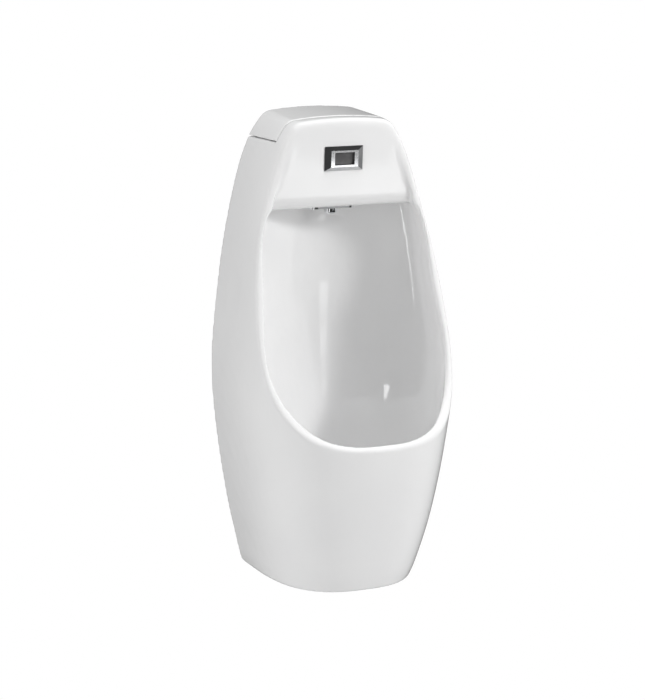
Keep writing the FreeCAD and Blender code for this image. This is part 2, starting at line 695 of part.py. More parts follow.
def hook_liner(side):
    """A plastic liner between a hook and the china."""
    front = "-(crossbar_depth + liner_wall)"
    corners = [("0", "0"), ("0", "liner_wall"), ("-crossbar_depth", "liner_wall"),
               ("-crossbar_depth", "hook_lip"), (front, "hook_lip"), (front, "0")]
    name = "hook_liner_" + ("right" if side > 0 else "left")
    liner = pad(name, corners, "hook_width", "YZ_Plane", middle=True)
    locate(liner, "%d * hook_spacing / 2" % side, "0", "crossbar_bottom - liner_wall")
    return liner


group("wall_hooks", [wall_hook(side) for side in (-1, 1)])
group("hook_liners", [hook_liner(side) for side in (-1, 1)])


# ---------------------------------------------------------------- sensor, in the panel's own frame
def on_panel(piece, x="0", out="0"):
    """Puts a piece on the panel's own frame, at x and a distance out of the panel."""
    lean = "atan%s" % PANEL_SLOPE
    depth = "%s + (%s) * cos(%s)" % (SENSOR_DEPTH, out, lean)
    locate(piece, x, depth, "sensor_level - (%s) * sin(%s)" % (out, lean), PANEL_FACE)
    return piece


CASE_FRONT = "sensor_gasket"
CASE_BACK = "sensor_gasket - case_length"


def sensor_bezel():
    """A bevelled frame with a window opening."""
    wedge = doc.addObject("Part::Wedge", "bezel_wedge")
    for low, high, half in (("Xmin", "Xmax", "bezel_width / 2"), ("Zmin", "Zmax", "bezel_height / 2"),
                            ("X2min", "X2max", "bezel_width / 2 - bezel_slope_x"),
                            ("Z2min", "Z2max", "bezel_height / 2 - bezel_slope_z")):
        wedge.setExpression(low, named("-(%s)" % half))
        wedge.setExpression(high, named(half))
    wedge.setExpression("Ymin", named("0"))
    wedge.setExpression("Ymax", named("bezel_proud"))
    opening = doc.addObject("Part::Box", "bezel_opening")
    opening.setExpression("Length", named("window_width"))
    opening.setExpression("Width", named("3 * bezel_proud"))
    opening.setExpression("Height", named("window_height"))
    opening.setExpression(".Placement.Base.x", named("-window_width / 2"))
    opening.setExpression(".Placement.Base.y", named("-bezel_proud"))
    opening.setExpression(".Placement.Base.z", named("-window_height / 2"))
    bezel = doc.addObject("Part::Cut", "sensor_bezel")
    bezel.Label = "sensor_bezel"
    bezel.Base = wedge
    bezel.Tool = opening
    on_panel(bezel, out="sensor_gasket")
    bezel.Placement.Rotation = PANEL_FACE.multiply(Rotation(Vector(1, 0, 0), 90))


def sensor_parts():
    outline = rectangle("bezel_width - 2 * sensor_gasket", "bezel_height - 2 * sensor_gasket")
    seat = pad("sensor_gasket", outline, "sensor_gasket")
    seat.Label = "sensor_gasket"
    cut(seat, [rectangle(CASE_HOLE_WIDTH, CASE_HOLE_HEIGHT)])
    on_panel(seat)
    case = pad("sensor_case", rectangle("case_width", "case_height"), "case_length", lift=CASE_BACK)
    cut(case, [rectangle("case_width - 2 * case_wall", "case_height - 2 * case_wall")], lift=CASE_FRONT,
        depth="case_length - case_wall", forwards=False)
    sides = ("-clamp_screw_spacing / 2", "clamp_screw_spacing / 2")
    posts = [("sensor_post_radius", side, "0") for side in sides]
    add(case, posts, "sensor_post", lift=CASE_BACK + " + case_wall")
    cut(case, [("small_screw_radius + screw_gap", side, "0") for side in sides], lift=CASE_BACK,
        depth="sensor_post")
    cut(case, [("lead_radius + lead_gap", "-sensor_lead_x", "0")], lift=CASE_BACK, depth="case_wall + 1")
    on_panel(case)
    window = pad("sensor_window", rectangle("case_width - 2 * case_wall - lead_gap",
                                            "case_height - 2 * case_wall - lead_gap"),
                 "window_glass", lift=CASE_FRONT + " - window_glass")
    on_panel(window)
    board_back = CASE_BACK + " + case_wall + sensor_post"
    board = pad("sensor_board", rectangle("case_width - 2 * case_wall - lead_gap",
                                          "case_height - 2 * case_wall - lead_gap"),
                "board_thickness", lift=board_back)
    on_panel(board)
    pair = []
    for index, side in enumerate((-1, 1)):
        eye = turned("infrared_%d" % index, [("0", "0"), ("led_radius", "0"),
                                             ("led_radius", "led_length - led_radius"),
                                             ("led_radius / 2", "led_length"), ("0", "led_length")])
        pair.append(on_panel(eye, "%d * led_spacing / 2" % side, board_back + " + board_thickness"))
    group("infrared_pair", pair)
    clamp = pad("sensor_clamp", rectangle("clamp_width", "clamp_height"),
                "case_length - sensor_gasket - panel_wall + clamp_steel", lift=CASE_BACK + " - clamp_steel")
    cut(clamp, [rectangle("clamp_width - 2 * clamp_steel", "2 * clamp_height")], lift=CASE_BACK,
        depth="case_length")
    cut(clamp, [("small_screw_radius + screw_gap", side, "0") for side in sides])
    cut(clamp, [("lead_radius + 5 * lead_gap", "-sensor_lead_x", "0")])
    on_panel(clamp)
    screws = []
    for index, side in enumerate((-1, 1)):
        screw = small_screw("clamp_screw_%d" % index)
        screws.append(on_panel(screw, "%d * clamp_screw_spacing / 2" % side, CASE_BACK + " - clamp_steel"))
    group("clamp_screws", screws)


def small_screw(label):
    """A small screw whose head rests below its own Z = 0 and whose shank rises from it."""
    return turned(label, [("0", "-small_screw_head_height"), ("small_screw_head", "-small_screw_head_height"),
                          ("small_screw_head", "0"), ("small_screw_radius", "0"),
                          ("small_screw_radius", "small_screw_length"), ("0", "small_screw_length")])


sensor_bezel()
sensor_parts()


# ---------------------------------------------------------------- leads
def cable_path(points):
    """Straight runs joined by tangent arcs, each as large as its two runs allow; also gives the arcs' radii."""
    edges = []
    radii = []
    last = points[0]
    for before, corner, after in zip(points, points[1:], points[2:]):
        back = (before - corner).normalize()
        ahead = (after - corner).normalize()
        turn = math.pi - back.getAngle(ahead)
        run = 0.45 * min(before.distanceToPoint(corner), corner.distanceToPoint(after))
        radius = run / math.tan(turn / 2)
        start = corner + back * run
        end = corner + ahead * run
        inwards = (back + ahead).normalize()
        middle = corner + inwards * (radius / math.cos(turn / 2) - radius)
        edges.append(Part.LineSegment(last, start).toShape())
        edges.append(Part.Arc(start, middle, end).toShape())
        radii.append(radius)
        last = end
    edges.append(Part.LineSegment(last, points[-1]).toShape())
    return Part.Wire(edges), radii


def swept(path, radius, points):
    circle = Part.Circle(points[0], points[1] - points[0], radius)
    return path.makePipeShell([Part.Wire([circle.toShape()])], True, False)


def cable(label, points):
    radius = size("lead_radius")
    path, radii = cable_path(points)
    solid = swept(path, radius, points)
    expected = math.pi * radius ** 2 * path.Length
    print("%s: length %.1f, arc radii %s, volume %.1f of %.1f" % (
        label, path.Length, ", ".join("%.1f" % value for value in radii), solid.Volume, expected))
    if abs(solid.Volume / expected - 1) > 0.01:
        raise RuntimeError("the tube of %s doesn't follow its path" % label)
    feature(label, solid)


def place_point(x, depth, level):
    return Vector(size(x), -size(depth), size(level))


BOX_RIGHT = "box_width / 2 - box_x"
BOX_TOP = "shelf_underside + shelf_wall + box_height"
LEAD_LEVEL = BOX_TOP + " - box_lead_drop"
COIL_BOTTOM = "valve_bottom + valve_height + diaphragm + bonnet"


def leads():
    out = PANEL_FACE.multVec(Vector(0, 0, 1))
    case_back = place_point("0", SENSOR_DEPTH, "sensor_level") + out * size(CASE_BACK)
    case_back.x = -size("sensor_lead_x")
    inside = case_back + out * size("lead_end")
    behind = case_back - out * size("sensor_lead_run")
    drop = place_point(BOX_RIGHT + " + 18", "box_back + sensor_lead_back", LEAD_LEVEL)
    box_end = place_point(BOX_RIGHT + " - lead_end", "box_back + sensor_lead_back", LEAD_LEVEL)
    cable("sensor_lead", [inside, behind, drop, box_end])
    coil_side = place_point("valve_x - coil_radius", "nozzle_depth", COIL_BOTTOM + " + coil_height / 2")
    start = place_point(BOX_RIGHT + " - lead_end", "box_back + valve_lead_back", LEAD_LEVEL)
    first = place_point(BOX_RIGHT + " + 30", "box_back + valve_lead_back", LEAD_LEVEL)
    second = coil_side + Vector(-26, 0, 0)
    cable("valve_lead", [start, first, second, coil_side])


leads()


# ---------------------------------------------------------------- control box
def at_box(piece, level):
    locate(piece, "-box_x", "box_back + box_depth / 2", level)
    return piece


SHELF = "shelf_underside + shelf_wall"
SCREW_X = "(box_width / 2 - box_screw_inset)"
SCREW_Y = "(box_depth / 2 - box_screw_inset)"
CORNERS = [(-1, -1), (-1, 1), (1, -1), (1, 1)]


def corner_places():
    return [("%d * %s" % (x, SCREW_X), "%d * %s" % (y, SCREW_Y)) for x, y in CORNERS]


def control_box():
    box = pad("control_box", rectangle("box_width", "box_depth"), "box_height")
    soften(box, "box_round", is_upright)
    cut(box, [rectangle("box_width - 2 * box_wall", "box_depth - 2 * box_wall")], lift="box_wall",
        depth="box_height")
    add(box, [("box_post", x, y) for x, y in corner_places()], "box_height - box_wall", lift="box_wall")
    cut(box, [("small_screw_radius + screw_gap", x, y) for x, y in corner_places()], lift="box_height",
        depth="small_screw_length", forwards=False)
    lead_height = "box_height - box_lead_drop"
    for back in ("sensor_lead_back", "valve_lead_back"):
        cut(box, [("lead_radius + lead_gap", "box_depth / 2 - " + back, lead_height)], "YZ_Plane",
            lift="box_width / 2", depth="box_wall", forwards=False)
    at_box(box, SHELF)
    seal = pad("cover_gasket", rectangle("box_width", "box_depth"), "box_gasket")
    soften(seal, "box_round", is_upright)
    cut(seal, [rectangle("box_width - 2 * box_wall", "box_depth - 2 * box_wall")])
    at_box(seal, BOX_TOP)
    cover = pad("control_cover", rectangle("box_width", "box_depth"), "box_cover")
    soften(cover, "box_round", is_upright)
    cut(cover, [("small_screw_radius + screw_gap", x, y) for x, y in corner_places()])
    at_box(cover, BOX_TOP + " + box_gasket")
    screws = []
    for index, (x, y) in enumerate(corner_places()):
        screw = small_screw("cover_screw_%d" % index)
        level = BOX_TOP + " + box_gasket + box_cover"
        locate(screw, "-box_x + " + x, "box_back + box_depth / 2 + " + y, level, Rotation(Vector(1, 0, 0), 180))
        screws.append(screw)
    group("cover_screws", screws)


CELL_BLOCK = "cell_pitch + 2 * cell_radius + 2 * cell_gap + 2 * holder_wall"
HOLDER_DEPTH = "box_back + box_depth - box_wall - holder_gap - (%s) / 2" % CELL_BLOCK
CELL_FLOOR = SHELF + " + box_wall + holder_wall"


def cell_places():
    return [("%d * cell_pitch / 2" % x, "%d * cell_pitch / 2" % y) for x, y in CORNERS]


def cell_parts():
    holder = pad("cell_holder", rectangle(CELL_BLOCK, CELL_BLOCK), "holder_height")
    inside = CELL_BLOCK + " - 2 * holder_wall"
    cut(holder, [rectangle(inside, inside)], lift="holder_wall", depth="holder_height")
    fin = rectangle("holder_wall / 2", "cell_pitch / 2")
    add(holder, [fin], "holder_height - holder_wall", lift="holder_wall")
    locate(holder, "-box_x", HOLDER_DEPTH, SHELF + " + box_wall")
    cells = []
    for index, (x, y) in enumerate(cell_places()):
        top = "cell_height + cell_nub"
        cell = turned("cell_%d" % index, [
            ("0", "0"), ("cell_radius", "0"), ("cell_radius", "cell_height"),
            ("cell_nub_radius", "cell_height"), ("cell_nub_radius", top), ("0", top)])
        locate(cell, "-box_x + " + x, HOLDER_DEPTH + " + " + y, CELL_FLOOR + " + contact_steel")
        cells.append(cell)
    group("cells", cells)
    plates = []
    high = CELL_FLOOR + " + contact_steel + cell_height + cell_nub"
    for index, side in enumerate((-1, 1)):
        for name, level in (("low", CELL_FLOOR), ("high", high)):
            outline = rectangle("contact_width", "cell_pitch + contact_width")
            plate = pad("contact_%s_%d" % (name, index), outline, "contact_steel")
            locate(plate, "-box_x + %d * cell_pitch / 2" % side, HOLDER_DEPTH, level)
            plates.append(plate)
    group("contact_plates", plates)
    edge = "(box_width / 2 - box_wall - holder_gap)"
    top = "control_board_height"
    board = pad("control_board", [("-" + edge, "0"), (edge, "0"), (edge, top), ("-" + edge, top)],
                "board_thickness", "XZ_Plane")
    locate(board, "-box_x", "box_back + control_board_gap", SHELF + " + box_wall")


control_box()
cell_parts()


# ---------------------------------------------------------------- solenoid valve
def at_valve(piece, rise="0"):
    locate(piece, "valve_x", "nozzle_depth", "valve_bottom + " + rise)
    return piece


def bonnet_screw_places():
    return [("%d * bonnet_screw_place" % x, "%d * bonnet_screw_place" % y) for x, y in CORNERS]


def bonnet_screw_holes():
    return [("bonnet_screw_radius + screw_gap", x, y) for x, y in bonnet_screw_places()]


def valve_body():
    """The body: an inlet port towards the wall, a ring chamber round the seat, an outlet port and a stop."""
    body = turned("valve_body", [("0", "0"), ("valve_radius", "0"), ("valve_radius", "valve_height"),
                                 ("0", "valve_height")])
    add(body, [("inlet_port_radius", "0", "inlet_rise")], "valve_radius + inlet_port_length", "XZ_Plane",
        backwards=True)
    add(body, [("stop_boss_radius", "0", "inlet_rise")], "valve_radius + stop_boss_length", "XZ_Plane")
    add(body, [("outlet_port_radius", "0", "outlet_rise")], "valve_radius + outlet_port_length", "YZ_Plane",
        backwards=True)
    cut(body, [("valve_chamber",), ("valve_seat_radius",)], lift="valve_height",
        depth="valve_height - valve_chamber_bottom", forwards=False)
    cut(body, [("valve_chamber",)], lift="valve_height",
        depth="valve_height - valve_seat_height", forwards=False)
    cut(body, [("valve_seat_bore",)], lift="valve_height", depth="valve_height - valve_sump", forwards=False)
    cut(body, [("outlet_port_bore", "0", "outlet_rise")], "YZ_Plane",
        depth="valve_radius + outlet_port_length", forwards=False)
    cut(body, [("pipe_radius + running_gap", "0", "outlet_rise")], "YZ_Plane",
        lift="-(valve_radius + outlet_port_length)", depth="pipe_seat")
    cut(body, [("tail_bore", "0", "inlet_rise")], "XZ_Plane", lift="-(valve_radius + inlet_port_length)",
        depth="valve_radius + inlet_port_length - valve_chamber + 1")
    cut(body, [("tail_radius + running_gap", "0", "inlet_rise")], "XZ_Plane",
        lift="-(valve_radius + inlet_port_length)", depth="tail_seat")
    cut(body, [("stop_passage", "0", "inlet_rise")], "XZ_Plane", lift="valve_radius + stop_boss_length",
        depth="valve_radius + stop_boss_length - valve_chamber + 1", forwards=False)
    cut(body, [("stop_screw_radius + running_gap", "0", "inlet_rise")], "XZ_Plane",
        lift="valve_radius + stop_boss_length", depth="stop_bore_depth", forwards=False)
    cut(body, bonnet_screw_holes(), lift="valve_height",
        depth="bonnet_screw_length - bonnet - diaphragm + screw_gap", forwards=False)
    at_valve(body)


def valve_parts():
    valve_body()
    film = turned("diaphragm", [
        ("0", "0"), ("valve_radius", "0"), ("valve_radius", "diaphragm"), ("0", "diaphragm")])
    cut(film, bonnet_screw_holes())
    at_valve(film, "valve_height")
    bonnet = turned("valve_bonnet", [
        ("pilot_bore", "bonnet_hollow_height"), ("bonnet_hollow", "bonnet_hollow_height"),
        ("bonnet_hollow", "0"), ("valve_radius", "0"), ("valve_radius", "bonnet"), ("pilot_bore", "bonnet")])
    cut(bonnet, bonnet_screw_holes())
    at_valve(bonnet, "valve_height + diaphragm")
    screws = []
    for index, (x, y) in enumerate(bonnet_screw_places()):
        screw = turned("bonnet_screw_%d" % index, [
            ("0", "-bonnet_screw_length"), ("bonnet_screw_radius", "-bonnet_screw_length"),
            ("bonnet_screw_radius", "0"), ("bonnet_screw_head", "0"),
            ("bonnet_screw_head", "small_screw_head_height"), ("0", "small_screw_head_height")])
        locate(screw, "valve_x + " + x, "nozzle_depth + " + y, COIL_BOTTOM)
        screws.append(screw)
    group("bonnet_screws", screws)
    end = "tube_ceiling + tube_top"
    tube = turned("armature_tube", [
        ("tube_bore", "0"), ("tube_radius", "0"), ("tube_radius", end), ("0", end),
        ("0", "tube_ceiling"), ("tube_bore", "tube_ceiling")])
    at_valve(tube, "valve_height + diaphragm + bonnet")
    coil = ring("coil", "tube_radius + running_gap", "coil_radius", "coil_height")
    at_valve(coil, "valve_height + diaphragm + bonnet")
    nut = pad("coil_nut", hexagon("coil_nut_radius"), "coil_nut")
    cut(nut, [("tube_radius + running_gap",)])
    at_valve(nut, "valve_height + diaphragm + bonnet + coil_height")
    plunger = turned("plunger", [("0", "0"), ("plunger_radius", "0"), ("plunger_radius", "plunger_height"),
                                 ("0", "plunger_height")])
    at_valve(plunger, "valve_height + diaphragm + bonnet + plunger_rest")
    screw = turned("stop_screw", [
        ("0", "0"), ("stop_screw_radius", "0"), ("stop_screw_radius", "stop_screw_length"),
        ("0", "stop_screw_length")])
    cut(screw, [rectangle("slot_width", "3 * stop_screw_radius")], lift="stop_screw_length",
        depth="slot_depth", forwards=False)
    boss_front = "nozzle_depth + valve_radius + stop_boss_length"
    locate(screw, "valve_x", boss_front + " + stop_screw_proud - stop_screw_length",
           "valve_bottom + inlet_rise", FACE_FRONT)


def plunger_spring():
    """The return spring over the plunger, made of quarter turns of a helix; prints its least gap."""
    radius = size("spring_radius")
    wire = size("spring_wire")
    low = size(COIL_BOTTOM + " + plunger_rest + plunger_height + spring_end_gap") + wire
    high = size(COIL_BOTTOM + " + tube_ceiling - spring_end_gap") - wire
    quarters = int(4 * size("spring_turns"))
    centre = place_point("valve_x", "nozzle_depth", "0")

    def on_helix(quarter):
        angle = math.pi / 2 * quarter
        return centre + Vector(radius * math.cos(angle), radius * math.sin(angle),
                               low + (high - low) * quarter / quarters)

    arcs = []
    for quarter in range(quarters):
        arcs.append(Part.Arc(on_helix(quarter), on_helix(quarter + 0.5), on_helix(quarter + 1)).toShape())
    path = Part.Wire(arcs)
    ahead = arcs[0].tangentAt(arcs[0].FirstParameter)
    circle = Part.Circle(on_helix(0), ahead, wire)
    spring = path.makePipeShell([Part.Wire([circle.toShape()])], True, False)
    print("plunger_spring: least gap between turns %.2f" % ((high - low) / size("spring_turns") - 2 * wire))
    feature("plunger_spring", spring)


valve_parts()
plunger_spring()


# ---------------------------------------------------------------- water inlet
INLET_LEVEL = "valve_bottom + inlet_rise"
WASHER_BACK = "inlet_thread_length"
TAIL_BACK = "inlet_thread_length + inlet_washer"
TAIL_FRONT = "nozzle_depth - valve_radius - inlet_port_length + tail_seat"


def inlet_parts():
    lip = "%s + tail_flange" % TAIL_BACK
    nut = pad("inlet_nut", hexagon("inlet_nut_radius"), lip + " + inlet_nut_lip")
    cut(nut, [("inlet_thread",)], depth=WASHER_BACK)
    cut(nut, [("inlet_relief",)], lift=WASHER_BACK, depth="inlet_washer + tail_flange")
    cut(nut, [("tail_radius + running_gap",)])
    locate(nut, "valve_x", "0", INLET_LEVEL, FACE_FRONT)
    flange = "inlet_relief - running_gap"
    washer = ring("inlet_washer", "tail_bore", flange, "inlet_washer")
    locate(washer, "valve_x", WASHER_BACK, INLET_LEVEL, FACE_FRONT)
    length = "%s - (%s)" % (TAIL_FRONT, TAIL_BACK)
    tail = turned("inlet_tailpiece", [
        ("tail_bore", "0"), (flange, "0"), (flange, "tail_flange"),
        ("tail_radius", "tail_flange"), ("tail_radius", length), ("tail_bore", length)])
    locate(tail, "valve_x", TAIL_BACK, INLET_LEVEL, FACE_FRONT)
    inner = "filter_radius - filter_wall"
    strainer = turned("inlet_filter", [
        ("0", "filter_length"), ("0", "filter_length - filter_wall"), (inner, "filter_length - filter_wall"),
        (inner, "0"), ("filter_radius", "0"), ("filter_radius", "filter_length")])
    locate(strainer, "valve_x", TAIL_BACK, INLET_LEVEL, FACE_FRONT)


inlet_parts()


# ---------------------------------------------------------------- flush pipe and nozzle
SHANK_TOP = SHELF + " + locknut + shank_proud"


def outlet_tube():
    """The bent pipe from the valve to the nozzle's shank."""
    level = "valve_bottom + outlet_rise"
    start = place_point("valve_x - valve_radius - outlet_port_length + pipe_seat", "nozzle_depth", level)
    corner = place_point("0", "nozzle_depth", level)
    end = place_point("0", "nozzle_depth", SHANK_TOP + " - pipe_seat")
    bend = size("pipe_bend")
    one = corner + Vector(bend, 0, 0)
    two = corner + Vector(0, 0, -bend)
    middle = corner + Vector(bend, 0, -bend) + Vector(-1, 0, 1).normalize() * bend
    path = Part.Wire([Part.LineSegment(start, one).toShape(), Part.Arc(one, middle, two).toShape(),
                      Part.LineSegment(two, end).toShape()])
    outer = swept(path, size("pipe_radius"), [start, corner])
    bore = swept(path, size("pipe_bore"), [start, corner])
    feature("outlet_tube", outer.cut(bore))


def nozzle_parts():
    nut = pad("tube_nut", hexagon("pipe_nut_radius"), "pipe_nut")
    cut(nut, [("pipe_radius + running_gap",)])
    locate(nut, "0", "nozzle_depth", SHANK_TOP)
    height = "shelf_wall + locknut + shank_proud + nozzle_gasket + plate_thickness"
    nozzle = turned("spray_nozzle", [
        ("0", "-nozzle_drop"), ("nozzle_radius - nozzle_round", "-nozzle_drop"),
        ("nozzle_radius", "-nozzle_drop + nozzle_round"), ("nozzle_radius", "0"), ("shank_radius", "0"),
        ("shank_radius", height), ("pipe_radius + running_gap", height),
        ("pipe_radius + running_gap", height + " - pipe_seat"), ("pipe_bore", height + " - pipe_seat"),
        ("pipe_bore", "nozzle_jet - nozzle_drop"), ("0", "nozzle_jet - nozzle_drop")])
    cut(nozzle, [("nozzle_jet", "0", "-nozzle_drop / 2")], "XZ_Plane")
    cut(nozzle, [("nozzle_jet",)])
    locate(nozzle, "0", "nozzle_depth", "shelf_underside - nozzle_gasket - plate_thickness")
    plate = pad("nozzle_plate", rectangle("plate_width", "plate_depth"), "plate_thickness")
    soften(plate, "plate_round", is_upright)
    cut(plate, [("shank_radius + running_gap",)])
    locate(plate, "0", "nozzle_depth", "shelf_underside - nozzle_gasket - plate_thickness")
    outline = rectangle("plate_width - 2 * nozzle_gasket", "plate_depth - 2 * nozzle_gasket")
    seal = pad("nozzle_gasket", outline, "nozzle_gasket")
    soften(seal, "plate_round - nozzle_gasket", is_upright)
    cut(seal, [("shank_radius + running_gap",)])
    locate(seal, "0", "nozzle_depth", "shelf_underside - nozzle_gasket")
    lock = pad("nozzle_locknut", hexagon("locknut_radius"), "locknut")
    cut(lock, [("shank_radius + running_gap",)])
    locate(lock, "0", "nozzle_depth", SHELF)


outlet_tube()
nozzle_parts()


# ---------------------------------------------------------------- waste
def at_drain(piece, level):
    locate(piece, "0", "drain_depth", level)
    return piece


def drain_strainer():
    """The lift-out strainer: a shallow dome with a ring of holes and a skirt in the waste's bore."""
    skirt = "waste_bore - fit_gap"
    dome = turned("drain_strainer", [
        (skirt + " - strainer_wall", "-strainer_skirt"), (skirt, "-strainer_skirt"), (skirt, "0"),
        ("strainer_radius", "0"), ("strainer_radius", "strainer_wall / 2"),
        ("strainer_radius / 2", "strainer_wall / 2 + strainer_dome * 0.75"),
        ("0", "strainer_wall / 2 + strainer_dome"), ("0", "strainer_dome - strainer_wall / 2"),
        (skirt + " - strainer_wall", "0")])
    holes = [("strainer_hole", "0", "0")]
    count = int(size("strainer_ring_count"))
    for turn in range(count):
        angle = 2 * math.pi * turn / count
        holes.append(("strainer_hole", "strainer_ring * (%.5f)" % math.cos(angle),
                      "strainer_ring * (%.5f)" % math.sin(angle)))
    cut(dome, holes)
    at_drain(dome, "bowl_floor + waste_flange_thickness + fit_gap")


def waste_parts():
    length = "bowl_floor - waste_bottom"
    flange = turned("waste_fitting", [("waste_bore", "-(%s)" % length), ("waste_radius", "-(%s)" % length),
                                      ("waste_radius", "0"), ("waste_flange", "0"),
                                      ("waste_flange", "waste_flange_thickness / 2"),
                                      ("waste_flange - waste_flange_thickness", "waste_flange_thickness"),
                                      ("waste_bore", "waste_flange_thickness")])
    at_drain(flange, "bowl_floor")
    under = "bowl_floor - china_wall - waste_gasket"
    seal = ring("waste_gasket", "waste_radius + running_gap", "waste_flange", "waste_gasket")
    at_drain(seal, under)
    nut = pad("waste_locknut", hexagon("waste_nut_radius"), "waste_nut")
    cut(nut, [("waste_radius + running_gap",)])
    at_drain(nut, under + " - waste_nut")


drain_strainer()
waste_parts()


# ---------------------------------------------------------------- trap and outlet
def trap_parts():
    inner = "trap_radius - trap_wall"
    dip_bore = "dip_radius - dip_wall"
    ledge = "waste_bottom - trap_seat"
    body = turned("trap_body", [
        (dip_bore, "dip_bottom"), ("dip_radius", "dip_bottom"), ("dip_radius", "trap_deck - trap_wall"),
        (inner, "trap_deck - trap_wall"), (inner, "trap_skirt_bottom"), ("trap_radius", "trap_skirt_bottom"),
        ("trap_radius", "trap_deck"), ("trap_neck_radius", "trap_deck"),
        ("trap_neck_radius", "trap_neck_top"), ("waste_radius + running_gap", "trap_neck_top"),
        ("waste_radius + running_gap", ledge), (dip_bore, ledge)])
    sleeve = "outlet_radius + running_gap + sleeve_wall"
    add(body, [(sleeve, "0", "outlet_level")], "sleeve_reach - trap_radius + 2 * trap_wall", "XZ_Plane",
        lift="-sleeve_reach")
    cut(body, [("outlet_radius - outlet_wall", "0", "outlet_level")], "XZ_Plane", lift="-sleeve_reach",
        depth="sleeve_reach - trap_radius + 2 * trap_wall + 1")
    cut(body, [("outlet_radius + running_gap", "0", "outlet_level")], "XZ_Plane", lift="-sleeve_reach",
        depth="sleeve_depth")
    at_drain(body, "0")
    seal_bottom = "trap_skirt_bottom - cup_seal"
    collar = "trap_radius - trap_wall - fit_gap"
    cup = turned("trap_cup", [
        ("0", "cup_bottom"), ("trap_radius - cup_round", "cup_bottom"),
        ("trap_radius - 0.29 * cup_round", "cup_bottom + 0.29 * cup_round"),
        ("trap_radius", "cup_bottom + cup_round"), ("trap_radius", seal_bottom), (collar, seal_bottom),
        (collar, seal_bottom + " + cup_collar"), (collar + " - cup_wall", seal_bottom + " + cup_collar"),
        (collar + " - cup_wall", "cup_bottom + cup_round"),
        (collar + " - cup_round", "cup_bottom + cup_wall"), ("0", "cup_bottom + cup_wall")])
    at_drain(cup, "0")
    seal = ring("cup_seal", collar + " + running_gap", "trap_radius", "cup_seal")
    at_drain(seal, seal_bottom)
    washer = ring("trap_inlet_washer", "waste_radius + running_gap", "trap_neck_radius", "trap_washer")
    at_drain(washer, "trap_neck_top")
    lip = "trap_neck_top + trap_washer"
    low = "trap_neck_top - trap_nut_overlap"
    nut = pad("trap_inlet_nut", hexagon("trap_nut_radius"), "trap_nut_overlap + trap_washer + trap_nut_lip")
    cut(nut, [("trap_neck_radius + running_gap",)], depth="trap_nut_overlap + trap_washer")
    cut(nut, [("waste_radius + running_gap",)])
    at_drain(nut, low)


SLEEVE_END = "drain_depth - sleeve_reach"


def outlet_parts():
    bore = "outlet_radius - outlet_wall"
    front = SLEEVE_END + " + sleeve_depth"
    length = "%s - socket_mouth" % front
    pipe = ring("outlet_pipe", bore, "outlet_radius", length)
    locate(pipe, "0", "socket_mouth", "outlet_level", FACE_FRONT)
    sleeve = "outlet_radius + running_gap + sleeve_wall"
    washer = ring("outlet_washer", "outlet_radius + running_gap", sleeve, "outlet_washer")
    locate(washer, "0", SLEEVE_END + " - outlet_washer", "outlet_level", FACE_FRONT)
    nut = pad("outlet_nut", hexagon("outlet_nut_radius"), "outlet_nut_lip + outlet_washer + outlet_nut_overlap")
    cut(nut, [(sleeve + " + running_gap",)], lift="outlet_nut_lip", depth="outlet_washer + outlet_nut_overlap")
    cut(nut, [("outlet_radius + running_gap",)])
    locate(nut, "0", SLEEVE_END + " - outlet_washer - outlet_nut_lip", "outlet_level", FACE_FRONT)
    seat = "socket_mouth + socket_seal"
    socket = turned("wall_socket", [
        ("socket_bore", "0"), ("socket_radius", "0"), ("socket_radius", "socket_length - socket_round"),
        ("socket_radius - socket_round", "socket_length"), ("outlet_radius + running_gap", "socket_length"),
        ("outlet_radius + running_gap", seat), ("socket_groove", seat), ("socket_groove", "socket_mouth"),
        ("socket_bore", "socket_mouth")])
    locate(socket, "0", "0", "outlet_level", FACE_FRONT)
    seal = ring("socket_seal", "outlet_radius + running_gap", "socket_groove - running_gap", "socket_seal")
    locate(seal, "0", "socket_mouth", "outlet_level", FACE_FRONT)


trap_parts()
outlet_parts()

# ---------------------------------------------------------------- checks and files
NODES = [
    "ceramic_body", "ceramic_lid", "lid_pads", "wall_hooks", "hook_liners",
    "sensor_bezel", "sensor_window", "sensor_case", "sensor_gasket", "sensor_clamp", "clamp_screws",
    "sensor_board", "infrared_pair", "sensor_lead",
    "control_box", "control_cover", "cover_gasket", "cover_screws", "cell_holder", "cells", "contact_plates",
    "control_board", "valve_lead",
    "valve_body", "diaphragm", "valve_bonnet", "bonnet_screws", "armature_tube", "coil", "coil_nut", "plunger",
    "plunger_spring", "stop_screw",
    "inlet_nut", "inlet_washer", "inlet_tailpiece", "inlet_filter",
    "outlet_tube", "tube_nut", "spray_nozzle", "nozzle_plate", "nozzle_gasket", "nozzle_locknut",
    "drain_strainer", "waste_fitting", "waste_gasket", "waste_locknut",
    "trap_body", "trap_cup", "cup_seal", "trap_inlet_nut", "trap_inlet_washer",
    "outlet_pipe", "outlet_nut", "outlet_washer", "wall_socket", "socket_seal",
]
doc.recompute()
for item in doc.Objects:
    if "Invalid" in item.State or "Error" in item.State:
        raise RuntimeError("%s failed: %s" % (item.Label, item.State))
pieces = {}
for node in NODES:
    piece = doc.getObjectsByLabel(node)[0]
    if piece.Shape.isNull() or not piece.Shape.isValid():
        raise RuntimeError("the shape of %s isn't sound" % node)
    pieces[node] = piece.Shape
for node, shape in pieces.items():
    shape.exportStep("parts/%s.step" % node)
print("%d nodes, %d solids" % (len(pieces), sum(len(shape.Solids) for shape in pieces.values())))
